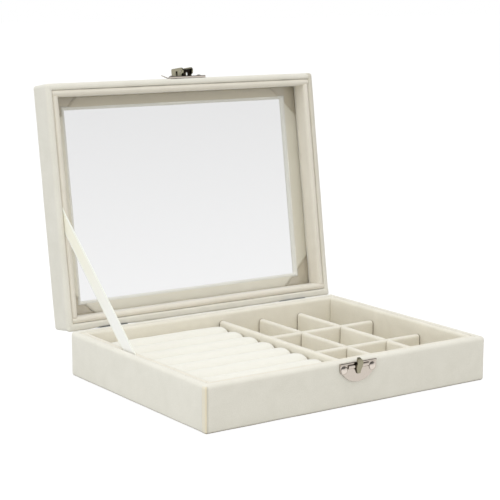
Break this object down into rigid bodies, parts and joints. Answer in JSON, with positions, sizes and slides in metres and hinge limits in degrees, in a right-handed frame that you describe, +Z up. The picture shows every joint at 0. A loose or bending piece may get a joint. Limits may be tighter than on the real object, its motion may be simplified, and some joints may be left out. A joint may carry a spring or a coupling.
{
  "type": "ring display box",
  "caption": "Velvet-covered ring display box with padded ring rolls, small compartments and a hinged glass window lid held open by a ribbon.",
  "frame": {"origin": "centre of the base's underside", "axes": "+X right, +Y to the back where the lid is hinged, +Z up"},
  "size_m": [0.2, 0.1956, 0.181],
  "materials": {
    "greyboard": "raw pressed board, hidden under the velvet",
    "velvet": "short cream velvet pile, soft edges",
    "velvet_card": "short cream velvet over card",
    "underside_velvet": "flat cream flock sheet",
    "roll_velvet": "soft off-white velvet over foam",
    "satin_ribbon": "off-white satin ribbon with woven edges",
    "window_glass": "clear flat glass",
    "hinge_metal": "plated steel strip, slightly dull",
    "latch_nickel": "bright nickel plate"
  },
  "bodies": {
    "base": {"bottom_board": "greyboard", "front_board": "greyboard", "back_board": "greyboard", "left_board": "greyboard", "right_board": "greyboard", "base_wrap": "velvet", "underside_cover": "underside_velvet", "floor_card": "velvet_card", "base_liner_front": "velvet_card", "base_liner_back": "velvet_card", "base_liner_left": "velvet_card", "base_liner_right": "velvet_card", "main_divider": "velvet_card", "column_divider_1": "velvet_card", "column_divider_2": "velvet_card", "row_divider_front": "velvet_card", "row_divider_back": "velvet_card", "ring_roll_1": "roll_velvet", "ring_roll_2": "roll_velvet", "ring_roll_3": "roll_velvet", "ring_roll_4": "roll_velvet", "ring_roll_5": "roll_velvet", "ring_roll_6": "roll_velvet", "ring_roll_7": "roll_velvet", "ring_roll_8": "roll_velvet", "ribbon_stay": "satin_ribbon", "catch_plate": "latch_nickel", "catch_hook": "latch_nickel", "catch_nails": "latch_nickel", "hinge_leaf_base_left": "hinge_metal", "hinge_leaf_base_right": "hinge_metal", "hinge_pin_left": "hinge_metal", "hinge_pin_right": "hinge_metal", "hinge_nails_base": "hinge_metal"},
    "lid": {"lid_window_board": "greyboard", "lid_front_board": "greyboard", "lid_back_board": "greyboard", "lid_left_board": "greyboard", "lid_right_board": "greyboard", "lid_wrap": "velvet", "window_flaps": "velvet", "glass_pane": "window_glass", "lid_liner_front": "velvet_card", "lid_liner_back": "velvet_card", "lid_liner_left": "velvet_card", "lid_liner_right": "velvet_card", "hinge_leaf_lid_left": "hinge_metal", "hinge_leaf_lid_right": "hinge_metal", "hinge_nails_lid": "hinge_metal", "latch_plate": "latch_nickel", "latch_nails": "latch_nickel"},
    "latch_tongue": {"latch_tongue": "latch_nickel", "latch_pin": "latch_nickel"}
  },
  "joints": [
    {"name": "lid_hinge", "type": "hinge", "parent": "base", "child": "lid", "pos_m": [0, 0.07602, 0.02564], "axis": [1, 0, 0], "range_deg": [0, 98.4], "deforming": ["ribbon_stay"]},
    {"name": "latch_tongue_hinge", "type": "hinge", "parent": "lid", "child": "latch_tongue", "pos_m": [0.002, 0.10416, 0.17879], "axis": [1, 0, 0], "range_deg": [0, 180]}
  ]
}
